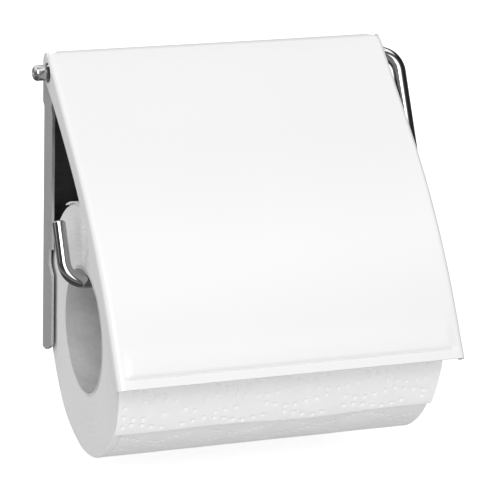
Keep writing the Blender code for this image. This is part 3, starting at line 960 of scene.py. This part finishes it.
# ---- wound paper ----------------------------------------------------------------
ROLL_STEPS_AROUND = 600
ROLL_STEPS_ALONG = 290
ROLL_HALF = ROLL_HIGH[0]
FACE_HALF = ROLL_HALF - 0.9 * MM    # half length of the outside, without the rims
PAPER_INNER = CORE_RADIUS + 0.05 * MM
FACE_BACK = 0.3 * MM          # the end faces lie this far inside the roll's length
DENT_AT, DENT_WIDTH, DENT_DEPTH, DENT_FADE = -2.0 * MM, 2.6 * MM, 1.1 * MM, 6 * MM
DOT_FALL = 1.6                # how fast a dot's depth falls off from its centre
DOT_UPPER, DOT_LOWER = 0.35, 1.6    # length of its upper and lower wall, in radii


def zigzag_dots(half, length, row_pitch, spacing, swing, wave, keep):
    """Embossed dots as (x, distance along the paper): zigzag rows with gaps.

    Keep is the share of places that get a dot, as a level between about -1 and 1.
    """
    dots = []
    for row in range(int(length / row_pitch)):
        for i in range(int((2 * half - 3.0 * MM) / spacing)):
            x = -half + 2.4 * MM + i * spacing
            tooth = abs((x / wave + 0.37 * row) % 1.0 - 0.5)
            s = length - 2.0 * MM - row * row_pitch - swing * tooth
            jitter = wobble(x * 530, row * 3.1, 1.7, 1.0)
            skip = wobble(x * 370, row * 5.7, 9.1, 1.0)
            if skip < keep and s > 0:
                dots.append((x + 0.6 * MM * jitter, s + 0.6 * MM * skip))
    return dots


def press(pressed, dots, half, length, radius, depth):
    """Press dots into a grid of depths: short steep upper wall, longer lower wall."""
    rows, columns = len(pressed) - 1, len(pressed[0]) - 1
    dx, ds = 2 * half / columns, length / rows
    reach = math.ceil(2.6 * radius / min(dx, ds))
    for x, s in dots:
        column, row = round((x + half) / dx), round(s / ds)
        for i in range(max(row - reach, 0), min(row + reach, rows) + 1):
            along = i * ds - s
            along /= DOT_UPPER if along < 0 else DOT_LOWER
            for j in range(max(column - reach, 0), min(column + reach, columns) + 1):
                away = math.hypot(along, j * dx - half - x) / radius
                pressed[i][j] = max(pressed[i][j], depth * math.exp(-DOT_FALL * away ** 2))


def layer_shift(radius, a, side):
    """How far the roll's end face stands out, with its layers, hollows and radial dent."""
    ring = noise.noise(Vector((radius / MM * 0.9, side * 7.3, 0.5)))
    slow = wobble(math.cos(a) * radius, math.sin(a) * radius, side * 0.05, 45.0)
    shift = 0.05 * MM * ring + 0.22 * MM * slow
    beside = radius * math.sin(a) - DENT_AT
    fold = math.exp(-(beside / DENT_WIDTH) ** 2) * (math.cos(a) > 0)
    deep = DENT_DEPTH * fold * ease((radius - PAPER_INNER) / DENT_FADE)
    return min(shift, FACE_BACK) - FACE_BACK - deep


def end_ring(radius, side, dip=0.0):
    """Ring of an end face; a dip takes it back towards the middle of the roll."""
    return [Vector((side * (ROLL_HALF + layer_shift(radius, a, side) - dip),
                    ROLL.y - radius * math.sin(a), ROLL.z + radius * math.cos(a)))
            for a in circle(ROLL_STEPS_AROUND)]


def pressed_outside():
    """Depths on the roll's outside: zigzag dots, and a line of stitches near the left rim."""
    length = 2 * math.pi * ROLL_RADIUS
    pressed = [[0.0] * (ROLL_STEPS_ALONG + 1) for _ in range(ROLL_STEPS_AROUND + 1)]
    dots = zigzag_dots(FACE_HALF, length, 7.4 * MM, 2.3 * MM, 13.0 * MM, 31.0 * MM, 0.22)
    press(pressed, dots, FACE_HALF, length, 0.64 * MM, 1.00 * MM)
    stitched = [(-FACE_HALF + 2.0 * MM, s) for s in steps(0.6 * MM, length - 0.6 * MM, 220)]
    press(pressed, stitched, FACE_HALF, length, 0.42 * MM, 0.85 * MM)
    return pressed


def make_paper_roll():
    """Wound paper: layered end faces with a soft dent, rounded rims, dotted outside."""
    radii = steps(PAPER_INNER, ROLL_RADIUS - 0.6 * MM, 52)
    rim = [(ROLL_RADIUS - 0.25 * MM, 0.12 * MM), (ROLL_RADIUS - 0.04 * MM, 0.45 * MM)]
    pressed = pressed_outside()
    rows = [end_ring(r, -1) for r in radii] + [end_ring(r, -1, dip) for r, dip in rim]
    first_outer = len(rows)
    for j, x in enumerate(steps(-FACE_HALF, FACE_HALF, ROLL_STEPS_ALONG)):
        row = []
        for i, a in enumerate(circle(ROLL_STEPS_AROUND)):
            r = ROLL_RADIUS - pressed[i][j]
            r -= 0.10 * MM * (1 + wobble(math.cos(a) * 3, math.sin(a) * 3, x * 60, 1.0))
            row.append(Vector((x, ROLL.y - r * math.sin(a), ROLL.z + r * math.cos(a))))
        rows.append(row)
    last_outer = len(rows)
    rows += [end_ring(r, 1, dip) for r, dip in rim[::-1]] + [end_ring(r, 1) for r in radii[::-1]]
    bm = bmesh.new()
    verts = add_grid(bm, rows, close_rows=True, close_columns=True)
    outside = set(v for row in verts[first_outer - 1:last_outer + 1] for v in row)
    for face in bm.faces:
        face.material_index = 0 if all(v in outside for v in face.verts) else 1
    bmesh.ops.recalc_face_normals(bm, faces=bm.faces)
    mats = [tissue("wound_tissue", 0.86, 0.92), wound_edge()]
    roll = link("wound_paper", mesh_from(bm, "wound_paper", 70), mats, location=ROLL)
    piece(roll, "roll", "paper", "paper_roll")


# ---- outer sheet ----------------------------------------------------------------
SHEET_INNER = ROLL_RADIUS + 0.2 * MM
TISSUE = 0.35 * MM
WRAP = (-27.0, 122.5)         # degrees round the roll, serrated start to torn end
SHEET_LENGTH = math.radians(WRAP[1] - WRAP[0]) * SHEET_INNER
SHEET_COLUMNS = 400
SHEET_ROWS = 350
SHEET_OFF = 0.10 * MM         # the layer stands this far off the roll
FREE_FROM, FREE_FADE = 70.0, 15.0    # degrees, where the layer comes free of the roll


def torn(x):
    """Waver of the torn edge, along the sheet."""
    t = x / SHEET_HALF
    slow = 0.5 * math.sin(2.4 * t + 1.0) + 0.45 * math.sin(6.1 * t + 0.4)
    fine = 0.22 * wobble(x, 0.0, 3.3, 330.0) + 0.12 * wobble(x, 0.0, 7.1, 900.0)
    return 1.2 * MM * (slow + fine)


def serrated(x):
    """Teeth of the cut start, along the sheet."""
    tooth = (x / (1.3 * MM)) % 1.0
    return 0.55 * MM * abs(tooth - 0.5) * 2


def sheet_point(x, share, pressed):
    """Outer and inner point of the layer, at a share of the way to the torn edge."""
    s = share * SHEET_LENGTH + torn(x) * ease((share - 0.9) / 0.1)
    s += serrated(x) * ease((0.03 - share) / 0.03)
    angle = WRAP[0] + math.degrees(s / SHEET_INNER)
    free = ease((angle - FREE_FROM) / FREE_FADE)
    lift = 0.35 * MM * free - 0.25 * MM * ease((0.05 - share) / 0.05)
    lift += 0.12 * MM * ease((share - 0.93) / 0.07)
    waver = 0.07 * MM * (1 + wobble(x, s, 2.0, 75.0)) + 0.04 * MM * wobble(x, s, 5.0, 320.0)
    radius = SHEET_INNER + SHEET_OFF + lift + waver
    pull = 0.7 * MM * ease((share - 0.80) / 0.20) * ease((abs(x / SHEET_HALF) - 0.9) / 0.1)
    reach = x - math.copysign(pull, x)
    dent = pressed * (0.6 + 0.4 * free)
    outer = place(reach, *around(ROLL_AT, radius + TISSUE - dent, angle))
    inner = place(reach, *around(ROLL_AT, radius - dent * 0.9, angle))
    return outer, inner


def make_sheet():
    """Free layer: over the roll's top, round its front, torn off a little way under."""
    columns = steps(-SHEET_HALF, SHEET_HALF, SHEET_COLUMNS)
    pressed = [[0.0] * (SHEET_COLUMNS + 1) for _ in range(SHEET_ROWS + 1)]
    dots = zigzag_dots(SHEET_HALF, SHEET_LENGTH, 5.2 * MM, 3.75 * MM, 6.5 * MM, 27.0 * MM, 0.26)
    press(pressed, dots, SHEET_HALF, SHEET_LENGTH, 0.72 * MM, 0.95 * MM)
    rows = [[sheet_point(x, i / SHEET_ROWS, depth) for x, depth in zip(columns, line)]
            for i, line in enumerate(pressed)]
    bm = bmesh.new()
    top = add_grid(bm, [[outer for outer, inner in row] for row in rows])
    low = add_grid(bm, [[inner for outer, inner in row] for row in rows])
    for end in (0, -1):
        bridge(bm, top[end], low[end])
        bridge(bm, [row[end] for row in top], [row[end] for row in low])
    bmesh.ops.recalc_face_normals(bm, faces=bm.faces)
    mats = [tissue("tissue_sheet", 0.94, 0.98, 0.3)]
    sheet = link("outer_layer", mesh_from(bm, "outer_layer", 70), mats, location=HINGE)
    piece(sheet, "arm", "paper_sheet", "outer_sheet")


make_camera()
make_world()
make_key_light()
make_floor()
make_cover()
make_plate()
make_threads()
make_arm()
make_cap()
make_core()
make_paper_roll()
make_sheet()
bpy.context.scene.view_settings.view_transform = "Standard"
